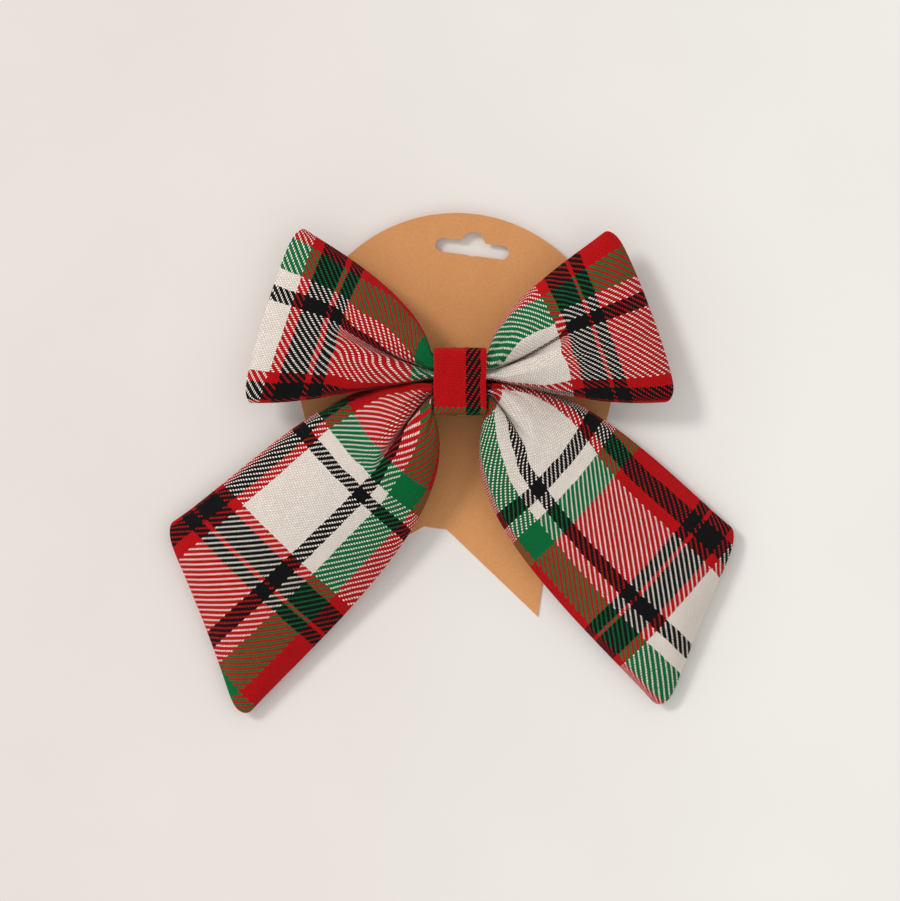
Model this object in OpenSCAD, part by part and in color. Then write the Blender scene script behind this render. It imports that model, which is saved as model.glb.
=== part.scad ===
// A padded plaid hair bow on a sprung hair clip, held on a kraft display card.
// All lengths are millimetres. The bow lies face up: +Z points out of its face,
// +X to its right, +Y to its top, and Z = 0 is the surface it lies on.
// The origin is on that surface, under the middle of the knot.

/* [Knot] */
// Width of the knot band along X
knot_width = 22.5; // [18:0.5:28]
// Height of the knot band along Y
knot_height = 28.8; // [24:0.2:34]
// Depth of the knot band along Z
knot_depth = 20.2; // [16:0.2:24]
// Thickness of the folded band cloth
band_cloth = 1.0; // [0.6:0.1:1.6]
// Thickness of the stiffening strip inside the band
band_stiffener = 0.6; // [0.3:0.1:1.0]

/* [Padded strips] */
// Thickness of one quilted cloth panel
panel_cloth = 0.8; // [0.5:0.1:1.2]
// Padded thickness beside the knot
throat_thickness = 13; // [11:0.5:14]
// Padded thickness towards the ends of the loops
loop_thickness = 9; // [6:0.5:12]
// Padded thickness towards the ends of the tails
tail_thickness = 8; // [5:0.5:10]
// Thickness of the turned seam round each strip
seam_thickness = 1.5; // [1.2:0.1:2.4]
// Height of the seam at the loops' ends
loop_seam_z = 16; // [12:0.5:20]
// Height of the seam at the tails' ends
tail_seam_z = 6.2; // [4.6:0.1:8]
// Depth of the gather crease beside the knot
crease_depth = 8; // [4:0.5:8.2]

/* [Clip] */
// Width of the clip's sheet-metal arms along Y
clip_width = 8; // [7:0.5:10]
// Thickness of the clip's sheet metal
clip_sheet = 0.8; // [0.6:0.1:1.0]
// Distance from the pin forward to the tips of the jaws
jaw_reach = 40; // [34:1:44]
// Distance from the pin back to the end of the finger lever
lever_reach = 15; // [12:1:18]
// Radius of the pin the jaw turns on
pin_radius = 1.0; // [0.8:0.1:1.2]

/* [Display card] */
// Thickness of the card
card_thickness = 0.6; // [0.4:0.1:0.8]
// Radius of the card's round head
card_radius = 68.4; // [60:0.2:76]
// Half the width of the banner below the round head
banner_half_width = 49; // [40:1:56]
// Distance from the head's middle down to the banner's points
banner_reach = 100.6; // [90:0.2:110]
// Distance from the head's middle down to the banner's notch
notch_reach = 64.7; // [50:0.2:80]
// Turn of the card, clockwise as seen from the front
card_turn = 7.5; // [0:0.5:15]

/* [Hidden] */

$fn = 48;
skin = 0.05;                    // gap left between neighbouring soft layers
batting_gap = 0.3;              // from the batting to each panel
batting_inset = 0.07;           // share of the strip's width left empty beside its seams
overlap = 0.01;                 // into a neighbour of the same piece, so that the two join

// Clip levels, from the card upwards
lever_bottom = card_thickness + 0.4;
arm_bottom = 8.0;
arm_top = arm_bottom + clip_sheet;
ribbon_thickness = 0.4;
ribbon_length = 50;
ribbon_middle_x = -2;
glue_thickness = 0.5;
glue_length = 18;
knot_back = arm_top + ribbon_thickness + glue_thickness;
knot_z = knot_back + knot_depth / 2;
knot_corner = 4;

// The hinge of the clip
pin_x = -14;
pin_z = 4.6;
running_clearance = 0.05;
ear_radius = 2.2;
ear_thickness = 0.7;
jaw_ear_outer = clip_width / 2 - ear_thickness - 0.2;
lever_end_x = pin_x - lever_reach;
jaw_end_x = pin_x + jaw_reach;
plate_bottom = 1.6;             // underside of the jaw's plate below the pin
heel_bottom = 1.3;              // and just behind it, where the finger lever turns down
tip_length = 6;                 // flat tips of the two jaws, behind their ends
tooth_pitch = 1.5;
tooth_height = 0.5;
pin_head_length = 0.7;
pin_head_rim = 0.5;

// The clip's spring
spring_pitch = 0.5;
spring_turns = 7;
spring_wire = 0.5;
spring_leg_radius = 0.2;
spring_leg_reach = 9.5;

// The card's tongue, held between the jaws
tongue_bottom = 3.2;
tongue_width = 8;
tongue_start_x = jaw_end_x - 7;
tongue_step_x = jaw_end_x + 5;
tongue_root_x = tongue_step_x + 4;
window_start_x = lever_end_x - 3;
window_width = 13;
bite_gap = 0.25;                // from the card's tongue to each jaw's teeth

// The card's head and its hanging slot
card_centre = [-1.7, 4.7];
curl_start_y = 12;
curl_rise = 4.8;
curl_span = 62;
curl_radius = curl_span * curl_span / (2 * curl_rise);
slot_distance = 53.5;
slot_length = 32;
slot_height = 5.9;
slot_bump_radius = 5.25;
slot_bump_offset = 1.95;        // from the slot's middle line up to the middle of its bump

// Bodies of the strips inside the band
hole_height = knot_height - 2 * (band_cloth + band_stiffener + skin);
hole_depth = knot_depth - 2 * (band_cloth + band_stiffener + skin);
throat_outer = hole_height / 2 - 0.9;
throat_inner = 0.5;
throat_x = knot_width / 2 + 0.8;
throat_seam_z = knot_z - 0.1 * throat_thickness;
front_share = 0.6;              // of the padding's thickness, the part in front of the seam
thread_radius = 0.3;

// Each lobe has two edges. An edge is a curve with four control points, from the knot outwards.
// The third value is how far the middle of the cut end bulges out, and the fourth how far its
// corners are rounded back, as a share of the lobe's length.
LOWER = 0;
UPPER = 1;
BULGE = 2;
CORNER = 3;
loop_left = [[[-throat_x, throat_inner], [-44, -3], [-70, -12], [-94, -9]],
             [[-throat_x, throat_outer], [-17, 36], [-50, 56], [-70, 68]], 2.6, 0.04];
loop_right = [[[throat_x, throat_inner], [40, -4], [62, -13], [94, -8.5]],
              [[throat_x, throat_outer], [13.5, 30], [43.5, 52], [66, 67.5]], 3, 0.04];
tail_left = [[[-throat_x, -throat_outer], [2, -44], [-28, -86], [-95.5, -148]],
             [[-throat_x, -throat_inner], [-47, -2], [-83, -28], [-129, -63]], 0, 0.024];
tail_right = [[[throat_x, -throat_outer], [-2, -44], [21, -80], [88.5, -144]],
              [[throat_x, -throat_inner], [45, -3.5], [83, -29], [121.5, -65.5]], 0.8, 0.024];

// Colours
plaid_red = [0.66, 0.10, 0.10];
batting_white = [0.93, 0.92, 0.89];
thread_red = [0.55, 0.08, 0.08];
interlining_white = [0.88, 0.88, 0.86];
glue_clear = [0.90, 0.86, 0.76];
ribbon_black = [0.06, 0.06, 0.07];
steel = [0.72, 0.73, 0.75];
kraft = [0.70, 0.53, 0.36];

// ---- Curves and surfaces of the padded strips ----

function bezier(p, t) = pow(1 - t, 3) * p[0] + 3 * pow(1 - t, 2) * t * p[1]
                        + 3 * (1 - t) * t * t * p[2] + t * t * t * p[3];

function unit(p) = p / norm(p);

function lobe_out(lobe) = unit(lobe[LOWER][3] + lobe[UPPER][3] - lobe[LOWER][0] - lobe[UPPER][0]);

// Plan position: u runs from the knot (0) to the end (1), v from the lower to the upper edge
function plan(lobe, u, v) = let(w = u * (1 - lobe[CORNER] * pow(abs(2 * v - 1), 12)))
    (1 - v) * bezier(lobe[LOWER], w) + v * bezier(lobe[UPPER], w)
    + lobe[BULGE] * pow(u, 4) * 4 * v * (1 - v) * lobe_out(lobe);

// A step from 0 to 1 with level ends
function smooth(t) = let(c = min(1, max(0, t))) c * c * (3 - 2 * c);

// A strip's form: height of its seams at the ends, and its padded thickness there
END_Z = 0;
END_THICKNESS = 1;
loops_form = [loop_seam_z, loop_thickness];
tails_form = [tail_seam_z, tail_thickness];

// Height of the seam along a lobe
function seam_z(form, u) = throat_seam_z + (form[END_Z] - throat_seam_z) * smooth(1.15 * u);

// Padding across the strip: boxy in the knot, a cushion further out
function cushion(u, v) = let(p = 10 - 7.6 * min(1, 4 * u)) sqrt(max(0, 1 - pow(abs(2 * v - 1), p)));

function padding(form, u, v) =
    (form[END_THICKNESS] + (throat_thickness - form[END_THICKNESS]) * pow(1 - u, 1.2))
    * sqrt(1 - pow(u, 8)) * cushion(u, v);

// The gather crease runs out from the knot and dies away over the lobe
function crease(u, v) = crease_depth * (0.35 + 0.65 * min(1, 8 * u)) * pow(max(0, 1 - u / 0.6), 1.5)
                        * exp(-pow((v - 0.45) / 0.14, 2));

half_seam = seam_thickness / 2;

function front_z(form, u, v) = seam_z(form, u) + half_seam
    + max(0, front_share * padding(form, u, v) - crease(u, v));

function back_z(form, u, v) = seam_z(form, u) - half_seam
    - (1 - front_share) * padding(form, u, v);

// The inner faces of the two panels, which meet at the seam
function front_lining_z(form, u, v) = max(seam_z(form, u) + skin, front_z(form, u, v) - panel_cloth);

function back_lining_z(form, u, v) = min(seam_z(form, u) - skin, back_z(form, u, v) + panel_cloth);

ROWS = 15;                      // rows of facets along each lobe
COLUMNS = 14;                   // facets across each strip
FRONT = 0;
FRONT_LINING = 1;
BACK_LINING = 2;
BACK = 3;

function layer_z(layer, form, u, v) =
    layer == FRONT ? front_z(form, u, v)
    : layer == FRONT_LINING ? front_lining_z(form, u, v)
    : layer == BACK_LINING ? back_lining_z(form, u, v)
    : back_z(form, u, v);

// One row of points across a lobe, inset from the strip's edges by a share of its width
function row(layer, form, lobe, u, inset, lift) =
    [for (j = [0 : COLUMNS])
        let(v = inset + (1 - 2 * inset) * j / COLUMNS, p = plan(lobe, u, v))
        [p[0], p[1], layer_z(layer, form, u, v) + lift]];

// The whole strip, from the left lobe's end through the knot to the right lobe's end
function sheet(layer, form, left, right, inset, lift) =
    [for (i = [ROWS : -1 : 0]) row(layer, form, left, i / ROWS * (1 - inset), inset, lift),
     for (i = [0 : ROWS]) row(layer, form, right, i / ROWS * (1 - inset), inset, lift)];

// A closed solid between an upper and a lower sheet of points
module slab(top, bottom) {
    n = len(top);
    m = len(top[0]);
    low = n * m;
    points = [for (sheet_rows = [top, bottom]) for (one_row = sheet_rows) for (p = one_row) p];
    quads = [for (i = [0 : n - 2]) for (j = [0 : m - 2])
                 let(a = i * m + j) [a, a + 1, a + m + 1, a + m],
             for (i = [0 : n - 2]) for (j = [0 : m - 2])
                 let(a = low + i * m + j) [a, a + m, a + m + 1, a + 1],
             for (i = [0 : n - 2])
                 let(a = i * m) [a, a + m, low + a + m, low + a],
             for (i = [0 : n - 2])
                 let(a = i * m + m - 1) [a + m, a, low + a, low + a + m],
             for (j = [0 : m - 2])
                 [j + 1, j, low + j, low + j + 1],
             for (j = [0 : m - 2])
                 let(a = (n - 1) * m + j) [a, a + 1, low + a + 1, low + a]];
    faces = [for (q = quads) each [[q[0], q[1], q[2]], [q[0], q[2], q[3]]]];
    polyhedron(points = points, faces = faces, convexity = 6);
}

module front_panel(form, left, right)
    slab(sheet(FRONT, form, left, right, 0, 0), sheet(FRONT_LINING, form, left, right, 0, 0));

module back_panel(form, left, right)
    slab(sheet(BACK_LINING, form, left, right, 0, 0), sheet(BACK, form, left, right, 0, 0));

module batting(form, left, right)
    slab(sheet(FRONT_LINING, form, left, right, batting_inset, -batting_gap),
         sheet(BACK_LINING, form, left, right, batting_inset, batting_gap));

// ---- Rings round the throat, lying across X ----

module across_x(length) rotate([90, 0, 90]) linear_extrude(length, center = true) children();

module rounded_rectangle(width, height, radius) {
    square([width - 2 * radius, height], center = true);
    square([width, height - 2 * radius], center = true);
    for (a = [-1, 1]) for (b = [-1, 1])
        translate([a * (width / 2 - radius), b * (height / 2 - radius)]) circle(radius);
}

module band_ring(outer_height, outer_depth, wall, radius) difference() {
    rounded_rectangle(outer_height, outer_depth, radius);
    rounded_rectangle(outer_height - 2 * wall, outer_depth - 2 * wall, radius - wall);
}

// Turns of thread drawn tight round one strip, side by side along X
module gather_thread(side, first_x) {
    wall = 2 * thread_radius;
    gap = 0.08;                 // from the cloth to the thread
    ring_corner = 2.2;
    height = throat_outer - throat_inner + 2 * (wall + gap);
    for (k = [0 : 3])
        translate([first_x + k * (wall - overlap), side * (throat_outer + throat_inner) / 2, knot_z])
            across_x(wall)
                band_ring(height, throat_thickness + seam_thickness + 2 * (wall + gap), wall,
                          ring_corner);
}

// ---- Sheet metal parts of the clip, drawn from the side and given a width ----

module side_profile(width) rotate([90, 0, 0]) linear_extrude(width, center = true) children();

module ear_profile(from_z, to_z) difference() {
    union() {
        translate([pin_x, pin_z]) circle(ear_radius);
        translate([pin_x - ear_radius, min(from_z, to_z)])
            square([2 * ear_radius, abs(to_z - from_z)]);
    }
    translate([pin_x, pin_z]) children();
}

// A row of teeth along X at the tip of a jaw, pointing up or down from the sheet
module teeth(root_z, tip_z) {
    root = 0.7;
    tip = 0.15;
    for (k = [0.5 : 3.5])
        translate([jaw_end_x - k * tooth_pitch, 0])
            polygon([[-root, root_z], [root, root_z], [tip, tip_z], [-tip, tip_z]]);
}

// ---- Outline of the display card ----

module hang_slot() {
    square([slot_length - slot_height, slot_height], center = true);
    for (a = [-1, 1])
        translate([a * (slot_length - slot_height) / 2, 0]) circle(slot_height / 2);
    translate([0, slot_bump_offset]) circle(slot_bump_radius);
}

module card_outline() difference() {
    translate(card_centre) rotate(-card_turn) difference() {
        union() {
            circle(card_radius, $fn = 96);
            polygon([[-banner_half_width, 0], [banner_half_width, 0],
                     [banner_half_width, -banner_reach], [0, -notch_reach],
                     [-banner_half_width, -banner_reach]]);
        }
        translate([0, slot_distance]) hang_slot();
    }
    translate([window_start_x, -window_width / 2])
        square([tongue_root_x - window_start_x, window_width]);
}

// The card is flat under the bow, and its head curls gently upwards
module curl_profile() {
    lower_reach = 120;
    upper_reach = 90;
    height = 30;
    translate([-lower_reach, 0]) square([lower_reach + curl_start_y, card_thickness]);
    intersection() {
        translate([curl_start_y, card_thickness + curl_radius]) difference() {
            circle(curl_radius + card_thickness, $fn = 720);
            circle(curl_radius, $fn = 720);
        }
        translate([curl_start_y - overlap, 0]) square([upper_reach, height]);
    }
}

// ---- One module for each piece ----

module loops_front_panel() color(plaid_red)
    front_panel(loops_form, loop_left, loop_right);

module loops_back_panel() color(plaid_red)
    back_panel(loops_form, loop_left, loop_right);

module loops_batting() color(batting_white)
    batting(loops_form, loop_left, loop_right);

module loops_gather_thread() color(thread_red) gather_thread(1, -3.4);

module tails_front_panel() color(plaid_red)
    front_panel(tails_form, tail_left, tail_right);

module tails_back_panel() color(plaid_red)
    back_panel(tails_form, tail_left, tail_right);

module tails_batting() color(batting_white)
    batting(tails_form, tail_left, tail_right);

module tails_gather_thread() color(thread_red) gather_thread(-1, 1.4);

module knot_band() color(plaid_red)
    translate([0, 0, knot_z]) across_x(knot_width)
        band_ring(knot_height, knot_depth, band_cloth, knot_corner);

module knot_stiffener() color(interlining_white) {
    inset = 2 * (band_cloth + skin);
    side_margin = 1;
    translate([0, 0, knot_z]) across_x(knot_width - 2 * side_margin)
        band_ring(knot_height - inset, knot_depth - inset, band_stiffener, knot_corner - inset / 2);
}

// Whip stitches that close the band across its back
module knot_closing_stitches() color(thread_red) {
    stitch_pitch = 2.8;
    stitch_length = 2.4;
    stitch_slant = 25;
    seam_y = -7.2;
    for (k = [-3 : 3])
        translate([k * stitch_pitch, seam_y, knot_back - thread_radius])
            rotate([90, 0, stitch_slant])
                cylinder(h = stitch_length, r = thread_radius - overlap, center = true);
}

module glue_pad() color(glue_clear)
    translate([0, 0, arm_top + ribbon_thickness])
        linear_extrude(glue_thickness) rounded_rectangle(glue_length, clip_width + 1, 2);

module clip_lining_ribbon() color(ribbon_black)
    translate([ribbon_middle_x, 0, arm_top + ribbon_thickness / 2])
        cube([ribbon_length, clip_width + 1.5, ribbon_thickness], center = true);

module clip_upper_arm() color(steel) {
    bend_x = 6;
    teeth_bottom = tongue_bottom + card_thickness + bite_gap;
    tip_bottom = teeth_bottom + tooth_height;
    tip_x = jaw_end_x - tip_length;
    side_profile(clip_width)
        polygon([[lever_end_x, arm_bottom], [bend_x, arm_bottom], [tip_x, tip_bottom],
                 [jaw_end_x, tip_bottom], [jaw_end_x, tip_bottom + clip_sheet],
                 [tip_x, tip_bottom + clip_sheet], [bend_x, arm_top], [lever_end_x, arm_top]]);
    side_profile(clip_width - 2)
        teeth(tip_bottom + overlap, teeth_bottom);
    for (side = [-1, 1])
        translate([0, side * (clip_width / 2 - ear_thickness / 2), 0])
            side_profile(ear_thickness) ear_profile(pin_z, arm_bottom + overlap) circle(pin_radius);
}

module clip_pin() color(steel) {
    translate([pin_x, 0, pin_z]) rotate([90, 0, 0]) {
        cylinder(h = clip_width + pin_head_length, r = pin_radius, center = true);
        for (side = [-1, 1])
            translate([0, 0, side * (clip_width + pin_head_length) / 2])
                cylinder(h = pin_head_length, r = pin_radius + pin_head_rim, center = true);
    }
}

// Close-wound coils round the pin, one leg under the upper arm and one on the finger lever
module clip_spring() color(steel) {
    inner = pin_radius + 0.25;
    outer = inner + spring_wire;
    groove = outer - 0.3 * spring_wire;
    last = (spring_turns - 1) / 2;
    half_length = spring_turns * spring_pitch / 2;
    leg_level = (inner + outer) / 2;
    translate([pin_x, 0, pin_z]) rotate([90, 0, 0]) rotate_extrude()
        polygon([[inner, -half_length],
                 for (k = [-last : last])
                     each [[groove, (k - 0.5) * spring_pitch], [outer, k * spring_pitch]],
                 [groove, half_length], [inner, half_length]]);
    translate([pin_x, last * spring_pitch, pin_z + leg_level])
        rotate([0, -82, 0]) cylinder(h = spring_leg_reach, r = spring_leg_radius);
    translate([pin_x, -last * spring_pitch, pin_z - leg_level])
        rotate([0, -89, 0]) cylinder(h = spring_leg_reach, r = spring_leg_radius);
}

module clip_lower_jaw() color(steel) {
    teeth_top = tongue_bottom - bite_gap;
    tip_top = teeth_top - 0.6 * tooth_height;
    tip_x = jaw_end_x - tip_length;
    heel_x = pin_x - 3;
    toe_x = pin_x + 4;
    side_profile(2 * jaw_ear_outer)
        polygon([[lever_end_x, lever_bottom], [heel_x, heel_bottom], [toe_x, plate_bottom],
                 [tip_x, tip_top - clip_sheet], [jaw_end_x, tip_top - clip_sheet],
                 [jaw_end_x, tip_top], [tip_x, tip_top],
                 [toe_x, plate_bottom + clip_sheet], [heel_x, heel_bottom + clip_sheet],
                 [lever_end_x, lever_bottom + clip_sheet]]);
    side_profile(2 * jaw_ear_outer)
        teeth(tip_top - overlap, teeth_top);
    for (side = [-1, 1])
        translate([0, side * (jaw_ear_outer - ear_thickness / 2), 0])
            side_profile(ear_thickness)
                ear_profile(plate_bottom + overlap, pin_z) circle(pin_radius + running_clearance);
}

module display_card() color(kraft) {
    room = 300;
    intersection() {
        linear_extrude(room) card_outline();
        across_x(room) curl_profile();
    }
    side_profile(tongue_width)
        polygon([[tongue_start_x, tongue_bottom], [tongue_step_x, tongue_bottom],
                 [tongue_root_x, 0], [tongue_root_x + overlap, 0],
                 [tongue_root_x + overlap, card_thickness],
                 [tongue_step_x, tongue_bottom + card_thickness],
                 [tongue_start_x, tongue_bottom + card_thickness]]);
}

loops_front_panel();
loops_back_panel();
loops_batting();
loops_gather_thread();
tails_front_panel();
tails_back_panel();
tails_batting();
tails_gather_thread();
knot_band();
knot_stiffener();
knot_closing_stitches();
glue_pad();
clip_lining_ribbon();
clip_upper_arm();
clip_pin();
clip_spring();
clip_lower_jaw();
display_card();
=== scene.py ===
"""A padded plaid hair bow on a sprung clip and a kraft display card, lying face up."""
import math

import bpy
import numpy as np
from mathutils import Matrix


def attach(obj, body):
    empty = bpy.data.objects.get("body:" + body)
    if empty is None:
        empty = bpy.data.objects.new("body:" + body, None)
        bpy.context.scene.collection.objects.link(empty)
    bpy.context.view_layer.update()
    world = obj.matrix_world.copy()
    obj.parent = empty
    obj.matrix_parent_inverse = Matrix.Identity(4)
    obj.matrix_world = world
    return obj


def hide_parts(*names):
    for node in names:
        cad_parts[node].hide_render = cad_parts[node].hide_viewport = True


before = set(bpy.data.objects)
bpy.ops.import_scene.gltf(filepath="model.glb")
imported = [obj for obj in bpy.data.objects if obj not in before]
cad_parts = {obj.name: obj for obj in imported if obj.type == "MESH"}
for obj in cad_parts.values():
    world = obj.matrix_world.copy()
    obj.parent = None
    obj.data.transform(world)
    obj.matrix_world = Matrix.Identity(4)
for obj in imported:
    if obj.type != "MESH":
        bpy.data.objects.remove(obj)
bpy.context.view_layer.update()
MM = 0.001

# ---- Measures shared with the CAD source, in millimetres ----

KNOT_WIDTH = 22.5
KNOT_HEIGHT = 28.8
KNOT_DEPTH = 20.2
KNOT_BACK = 9.7
KNOT_Z = KNOT_BACK + KNOT_DEPTH / 2
THROAT_X = KNOT_WIDTH / 2 + 0.8
THROAT_OUTER = 11.8
THROAT_INNER = 0.5
THROAT_PADDING = 13.0
THROAT_SEAM_Z = KNOT_Z - 0.1 * THROAT_PADDING
HALF_SEAM = 0.75
FRONT_SHARE = 0.6
CLOTH_WIDTH = 83.0              # flat width of both strips between their seams
THROAT_ROWS = 7                 # rows of mesh hidden inside the knot
RIDGE = 0.22                    # height of the ridges beside a gather, as a share of its depth
EDGE_POWER = 12                 # how suddenly corners and turned edges round off
ARC_SHARE = 0.3                 # how far the long stripes crowd to the edges as the cloth rounds them
ROLL_START = 0.25               # the edges roll under near the knot, and open out from here
ROLL_SPAN = 0.45                # over this share of the lobe
FULL_GATHER = 0.25              # a gather with this share of its depth hides all the spare cloth
REST_GAP = 1.0                  # cloth never lies lower than this over the table
CLIP_TOP = 9.2                  # top of the ribbon on the clip, which the cloth lies over
CLIP_MIDDLE_X = -1.75
CLIP_HALF_LENGTH = 27.5
CLIP_HALF_WIDTH = 4.75
FRONT_OVER_CLIP = 1.8           # least height of each panel over the clip's top
BACK_OVER_CLIP = 0.8
WADDING_MARGIN = 5              # mesh rows and columns left free of wadding along the seams
WADDING_GAP = 1.8               # from the middle of the cloth to the wadding
LEAST_WADDING = 0.4             # thickness of the wadding where the panels leave it no room

# Each lobe: lower edge, upper edge (four control points each, from the knot outwards), how far
# the middle of its cut end bulges, and how far its corners are rounded back as a share of the
# lobe's length.
LOOP_LEFT = ([(-THROAT_X, THROAT_INNER), (-44, -3), (-70, -12), (-94, -9)],
             [(-THROAT_X, THROAT_OUTER), (-17, 36), (-50, 56), (-70, 68)], 2.6, 0.045)
LOOP_RIGHT = ([(THROAT_X, THROAT_INNER), (40, -4), (62, -13), (94, -8.5)],
              [(THROAT_X, THROAT_OUTER), (13.5, 30), (43.5, 52), (66, 67.5)], 3.0, 0.045)
TAIL_LEFT = ([(-THROAT_X, -THROAT_OUTER), (2, -44), (-28, -86), (-95.5, -148)],
             [(-THROAT_X, -THROAT_INNER), (-51, 5.5), (-84, -28.4), (-129, -63)], 0.0, 0.022)
TAIL_RIGHT = ([(THROAT_X, -THROAT_OUTER), (-2, -44), (21, -80), (88.5, -144)],
              [(THROAT_X, -THROAT_INNER), (48, 3), (83.5, -29.5), (121.5, -65.5)], 0.8, 0.022)


# ---- Shape of a strip before it is filled ----

def bezier(points, t):
    p = np.array(points, float)
    t = np.asarray(t, float)[..., None]
    return ((1 - t) ** 3 * p[0] + 3 * (1 - t) ** 2 * t * p[1]
            + 3 * (1 - t) * t ** 2 * p[2] + t ** 3 * p[3])


def smooth(u):
    u = np.clip(u, 0, 1)
    return u * u * (3 - 2 * u)


def lobe_direction(lobe):
    """Unit direction from the knot to the lobe's end."""
    out = sum(np.array(edge[3], float) - np.array(edge[0], float) for edge in lobe[:2])
    return out / np.linalg.norm(out)


def plan(lobe, u, v):
    """Seen from the front: u runs from the knot to the end, v from the lower to the upper edge."""
    lower, upper, bulge, corner = lobe
    w = u * (1 - corner * np.abs(2 * v - 1) ** EDGE_POWER)
    flat = (1 - v)[..., None] * bezier(lower, w) + v[..., None] * bezier(upper, w)
    return flat + (bulge * u ** 4 * 4 * v * (1 - v))[..., None] * lobe_direction(lobe)


def padding(u, v, end_t):
    """Thickness of a lobe: nearly square across beside the knot, and a soft cushion further out."""
    power = 10 - 7.6 * np.minimum(1, 4 * u)
    cushion = np.sqrt(np.maximum(0, 1 - np.abs(2 * v - 1) ** power))
    along = end_t + (THROAT_PADDING - end_t) * (1 - u) ** 1.2
    return along * np.sqrt(np.maximum(0, 1 - u ** 8)) * cushion


def crease(u, v, start, end, width, depth, reach):
    """A gather that runs out from the knot, from one place across to another, and dies away.

    The cloth that it takes up stands as a low ridge on each side."""
    share = np.minimum(1, u / reach)
    centre = start + (end - start) * share
    fade = (1 - share ** 2) * (0.45 + 0.55 * np.minimum(1, 9 * u))
    offset = (v - centre) / width
    valley = np.exp(-np.abs(offset) ** 1.25)
    ridges = np.exp(-((np.abs(offset) - 2.1) / 0.9) ** 2)
    return depth * fade * (valley - RIDGE * ridges)


def lobe_surface(strip, side, front):
    lobe = strip["lobes"][side]
    u, v = np.meshgrid(np.linspace(0, 1, strip["rows"] + 1),
                       np.linspace(0, 1, strip["columns"] + 1), indexing="ij")
    seam = THROAT_SEAM_Z + (strip["end_z"] - THROAT_SEAM_Z) * smooth(1.15 * u)
    seam = seam - strip["tuck"] * smooth(7 * u) * smooth(2 - 4 * u) * smooth(2.5 * v - 1.5)
    inside = np.minimum(1, 8 * np.minimum(v, 1 - v))
    if front:
        fold = sum(crease(u, v, *pleat) for pleat in strip["pleats"][side]) * inside
        rise = np.maximum(-strip["deepest"], FRONT_SHARE * padding(u, v, strip["end_t"]) - fold)
        z = seam + HALF_SEAM * inside + rise
    else:
        z = seam - HALF_SEAM * inside - (1 - FRONT_SHARE) * padding(u, v, strip["end_t"])
    z[-1] = seam[-1]
    return np.concatenate([plan(lobe, u, v), z[..., None]], axis=-1)


def strip_surface(strip, front):
    """Points from the left end to the right end, by row and by column across."""
    left = lobe_surface(strip, 0, front)[::-1]
    right = lobe_surface(strip, 1, front)
    steps = np.linspace(0, 1, THROAT_ROWS + 2)[1:-1, None, None]
    throat = left[-1] * (1 - steps) + right[0] * steps
    return np.concatenate([left, throat, right])


def lobe_cloth(strip, side):
    """Flat cloth place of each point of a lobe: distance out from the strip's middle, and across.

    Near the knot the threads fan round it. Further out they run square across the strip."""
    lobe = strip["lobes"][side]
    front = lobe_surface(strip, side, True)
    step = np.linalg.norm(np.diff(front, axis=0), axis=2)
    fanned = np.concatenate([np.zeros((1, step.shape[1])), np.cumsum(step, axis=0)])
    start = front[0, :, :2].mean(axis=0)
    square = (front[..., :2] - start) @ strip["grain"][side] * strip["square_stretch"][side]
    share = smooth(np.linspace(0, 1, len(front)) / strip["fan_reach"])[:, None]
    along = strip["start"][side] + fanned * (1 - share) + (square + strip["square_shift"][side]) * share
    return along, lobe_cloth_across(strip, side, front)


def lobe_cloth_across(strip, side, front):
    """Place across the flat cloth. What the lobe has no room for goes down the gathers.

    Near the knot some of it also rolls under at the two edges."""
    rows, columns = front.shape[:2]
    u = np.linspace(0, 1, rows)[:, None]
    v = (np.arange(columns - 1) + 0.5)[None, :] / (columns - 1)
    width = np.linalg.norm(np.diff(front, axis=1) * [1, 1, ARC_SHARE], axis=2)
    open_share = smooth((u - ROLL_START) / ROLL_SPAN)
    rolled = np.zeros(width.shape)
    for column, (near, far) in zip((0, -1), strip["roll"][side]):
        rolled[:, column] = (near + (far - near) * open_share)[:, 0]
    cut_width = CLOTH_WIDTH + strip["flare"][side] * open_share
    spare = np.maximum(0, cut_width - (width + rolled).sum(axis=1, keepdims=True))
    start, end, spread, depth, reach = strip["pleats"][side][0]
    share = np.minimum(1, u / reach)
    fade = 1 - share ** 2
    gather = np.exp(-((v - start - (end - start) * share) / (0.5 * spread)) ** 2)
    hidden = np.minimum(1, fade / FULL_GATHER)
    density = (hidden * gather / gather.sum(axis=1, keepdims=True)
               + (1 - hidden) * width / width.sum(axis=1, keepdims=True))
    density = width + rolled + spare * density
    across = np.concatenate([np.zeros((rows, 1)), np.cumsum(density, axis=1)], axis=1)
    return cut_width * across / across[:, -1:]


def strip_cloth(strip):
    """Flat cloth coordinates over the whole strip, in the same order as strip_surface."""
    left_s, left_t = lobe_cloth(strip, 0)
    right_s, right_t = lobe_cloth(strip, 1)
    steps = np.linspace(-1, 1, THROAT_ROWS + 2)[1:-1, None]
    share = (steps + 1) / 2
    middle_s = share * right_s[:1] - (1 - share) * left_s[:1]
    middle_t = left_t[:1] + 0 * steps
    s = np.concatenate([-left_s[::-1], middle_s, right_s])
    t = np.concatenate([left_t[::-1], middle_t, right_t])
    if strip["turned"]:
        return -s, CLOTH_WIDTH - t
    return s, t


def grain(degrees):
    angle = math.radians(degrees)
    return np.array([math.cos(angle), math.sin(angle)])


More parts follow.
